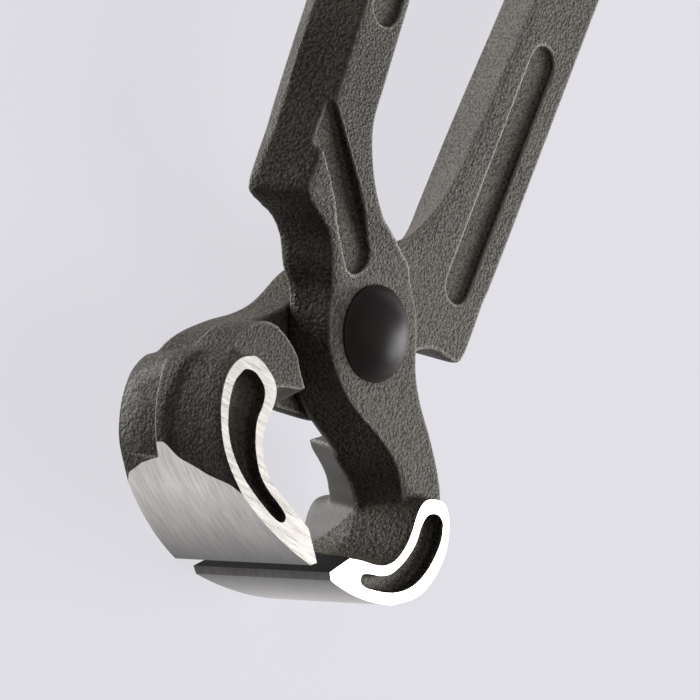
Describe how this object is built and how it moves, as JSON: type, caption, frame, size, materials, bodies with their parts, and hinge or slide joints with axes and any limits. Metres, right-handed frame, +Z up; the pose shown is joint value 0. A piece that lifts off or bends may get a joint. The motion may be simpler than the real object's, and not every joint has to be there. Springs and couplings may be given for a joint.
{
  "type": "end_cutting_nippers",
  "caption": "End cutting nippers: two crossed forged levers on one domed rivet, long plain handles, broad ground cutting jaws that meet squarely across the end of the tool",
  "frame": {"origin": "centre of the bottom of the bounding box; the nippers lie flat with the jaws' end faces on the floor plane", "axes": "+Y along the tool from the cutting edges to the handle ends, +Z up along the rivet axis out of the domed head, +X toward the front lever's jaw"},
  "size_m": [0.0654, 0.2252, 0.0248],
  "materials": {
    "forged_body": "black forged skin with a slight orange-peel texture; end faces and outer bevel of the jaws ground bright",
    "rivet_steel": "satin near-black smooth steel"
  },
  "bodies": {
    "front": {"front_lever": "forged_body", "rivet": "rivet_steel"},
    "rear": {"rear_lever": "forged_body"}
  },
  "joints": [
    {"name": "pivot", "type": "hinge", "parent": "front", "child": "rear", "pos_m": [0, -0.07638, 0.0124], "axis": [0, 0, -1], "range_deg": [-4.8, 42]}
  ]
}
